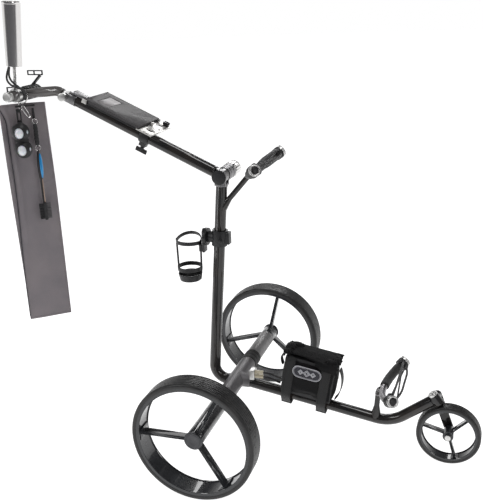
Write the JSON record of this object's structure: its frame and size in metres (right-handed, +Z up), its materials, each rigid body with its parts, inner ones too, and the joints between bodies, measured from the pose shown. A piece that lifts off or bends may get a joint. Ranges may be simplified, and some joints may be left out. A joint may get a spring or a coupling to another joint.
{
  "type": "electric golf trolley",
  "caption": "Three-wheel powered golf trolley with bowed bag cradles, folding handle, battery bag, scorecard board, umbrella tube, drink cage and hanging towel, ball band and brush.",
  "frame": {"origin": "on the ground, under the centre of the whole part's bounding box", "axes": "+Z up; +X towards the front wheel; +Y towards the far rear wheel, which is the left one"},
  "size_m": [1.2183, 0.637, 1.1176],
  "materials": {
    "carbon_gloss": "high gloss clear coat over dark carbon tube",
    "housing_grey": "satin grey cast housing",
    "motor_grey": "satin grey tube",
    "black_rubber": "matte rubber collar",
    "tyre_black": "matte tread",
    "rim_black": "semi-gloss dark rim",
    "spoke_black": "gloss moulded spoke",
    "hub_silver": "turned",
    "gun_metal": "semi-gloss anodised",
    "clear_knob": "polished knurled knob",
    "silver": "satin",
    "bag_fabric": "padded woven nylon",
    "webbing": "ribbed webbing",
    "pack_grey": "battery case",
    "plug_silver": "satin block",
    "board_silver": "light satin plate",
    "hub_dark": "dark blue-grey anodised",
    "brush_blue": "moulded grip",
    "brush_wire": "wire bristles",
    "plug_beige": "moulded plug shell",
    "patch_thread": "embroidered thread",
    "lid_grey": "satin",
    "black_plastic": "moulded",
    "neck_dark": "gloss",
    "silicone": "soft silicone",
    "stem_steel": "satin",
    "umbrella_steel": "mirror polished steel tube",
    "cord_black": "braided elastic cord",
    "chrome": "polished",
    "towel_grey": "waffle weave",
    "ball_white": "dimpled",
    "pouch_black": "soft silicone",
    "foam_black": "open-cell foam sleeve",
    "cradle_grey": "satin grey tube"
  },
  "bodies": {
    "chassis": {"axle_housing": "housing_grey", "mast_tube": "carbon_gloss", "front_tube": "carbon_gloss", "motor_tubes": "motor_grey", "motor_collars": "black_rubber", "drive_motors": "gun_metal", "hinge_barrel": "gun_metal", "upper_strut": "carbon_gloss", "lower_strut": "carbon_gloss", "front_fork": "carbon_gloss", "fork_bolts": "silver", "battery_bag": "bag_fabric", "battery_pack": "pack_grey", "bag_straps": "webbing", "battery_plug": "plug_silver", "battery_lead": "cord_black", "cage_clamp": "black_plastic"},
    "right_wheel": {"right_tyre": "tyre_black", "right_rim": "rim_black", "right_spokes": "spoke_black", "right_hub_cap": "hub_dark"},
    "left_wheel": {"left_tyre": "tyre_black", "left_rim": "rim_black", "left_spokes": "spoke_black", "left_hub_cap": "hub_dark"},
    "front_wheel": {"front_tyre": "tyre_black", "front_rim": "rim_black", "front_spokes": "spoke_black"},
    "flap": {"bag_flap": "bag_fabric"},
    "handle": {"handle_shaft": "carbon_gloss", "handle_knuckle": "gun_metal", "neck_bracket": "silver", "board_base": "board_silver", "board_clamp": "black_plastic", "pencil_clip": "black_plastic"},
    "lid": {"scorecard_lid": "lid_grey"},
    "wing_screw": {"wing_screw": "black_plastic"},
    "hinge_knob": {"hinge_knob": "clear_knob"},
    "neck_knob": {"neck_knob": "hub_silver"},
    "neck": {"neck_tube": "neck_dark", "t_bar": "neck_dark", "device_strap": "silicone", "hang_ring": "chrome"},
    "speed_dial": {"speed_dial": "hub_silver"},
    "umbrella_holder": {"umbrella_stem": "stem_steel", "umbrella_tube": "umbrella_steel", "umbrella_cords": "cord_black"},
    "towel": {"towel": "towel_grey"},
    "balls": {"ball_pouch": "pouch_black", "golf_balls": "ball_white"},
    "brush": {"brush_lanyard": "chrome", "brush": "black_plastic"},
    "upper_cradle": {"upper_cradle": "cradle_grey", "upper_foam": "foam_black", "upper_bungee": "cord_black"},
    "lower_cradle": {"lower_cradle": "cradle_grey", "lower_foam": "foam_black", "lower_bungee": "cord_black"},
    "cage": {"cage_arm": "black_plastic", "drink_cage": "black_plastic"}
  },
  "joints": [
    {"name": "right_wheel_spin", "type": "hinge", "parent": "chassis", "child": "right_wheel", "pos_m": [-0.01305, -0.2915, 0.15], "axis": [0, 1, 0], "continuous": true},
    {"name": "left_wheel_spin", "type": "hinge", "parent": "chassis", "child": "left_wheel", "pos_m": [-0.01305, 0.2915, 0.15], "axis": [0, 1, 0], "continuous": true},
    {"name": "front_wheel_spin", "type": "hinge", "parent": "chassis", "child": "front_wheel", "pos_m": [0.53195, 0, 0.0772], "axis": [0, 1, 0], "continuous": true},
    {"name": "bag_flap_open", "type": "hinge", "parent": "chassis", "child": "flap", "pos_m": [0.19558, 0.038, 0.24691], "axis": [-0.9867, 0, 0.1625], "range_deg": [0, 110]},
    {"name": "handle_fold", "type": "hinge", "parent": "chassis", "child": "handle", "pos_m": [-0.02905, 0, 0.699], "axis": [0, 1, 0], "range_deg": [-15, 110]},
    {"name": "hinge_knob_turn", "type": "hinge", "parent": "chassis", "child": "hinge_knob", "pos_m": [-0.02905, 0, 0.699], "axis": [0, 1, 0], "continuous": true},
    {"name": "neck_tilt", "type": "hinge", "parent": "handle", "child": "neck", "pos_m": [-0.43392, 0, 0.88607], "axis": [0, 1, 0], "range_deg": [-20, 15]},
    {"name": "neck_knob_turn", "type": "hinge", "parent": "handle", "child": "neck_knob", "pos_m": [-0.43392, 0, 0.88607], "axis": [0, 1, 0], "continuous": true},
    {"name": "lid_open", "type": "hinge", "parent": "handle", "child": "lid", "pos_m": [-0.352, 0, 0.88457], "axis": [0, -1, 0], "range_deg": [0, 90]},
    {"name": "wing_screw_turn", "type": "hinge", "parent": "handle", "child": "wing_screw", "pos_m": [-0.23932, 0, 0.7565], "axis": [0.4194, 0, 0.9078], "continuous": true},
    {"name": "speed_dial_turn", "type": "hinge", "parent": "neck", "child": "speed_dial", "pos_m": [-0.55905, 0, 0.891], "axis": [0, 1, 0], "range_deg": [0, 270]},
    {"name": "umbrella_tilt", "type": "hinge", "parent": "neck", "child": "umbrella_holder", "pos_m": [-0.55905, 0, 0.891], "axis": [0, 1, 0], "range_deg": [-20, 20]},
    {"name": "towel_swing", "type": "hinge", "parent": "neck", "child": "towel", "pos_m": [-0.55905, -0.016, 0.8677], "axis": [-0.6428, 0.766, 0], "range_deg": [-12, 12]},
    {"name": "ball_swing", "type": "hinge", "parent": "neck", "child": "balls", "pos_m": [-0.56824, -0.02371, 0.862], "axis": [-0.6428, 0.766, 0], "range_deg": [-2, 20]},
    {"name": "brush_swing", "type": "hinge", "parent": "neck", "child": "brush", "pos_m": [-0.54066, -0.00057, 0.862], "axis": [-0.6428, 0.766, 0], "range_deg": [-20, 2]},
    {"name": "upper_cradle_tilt", "type": "hinge", "parent": "chassis", "child": "upper_cradle", "pos_m": [0.03965, 0, 0.7025], "axis": [0, 1, 0], "range_deg": [-35, 35]},
    {"name": "lower_cradle_tilt", "type": "hinge", "parent": "chassis", "child": "lower_cradle", "pos_m": [0.35865, 0, 0.1665], "axis": [0, 1, 0], "range_deg": [-35, 35]},
    {"name": "cage_swivel", "type": "hinge", "parent": "chassis", "child": "cage", "pos_m": [-0.07305, 0, 0.541], "axis": [1, 0, 0], "range_deg": [-90, 90]}
  ]
}
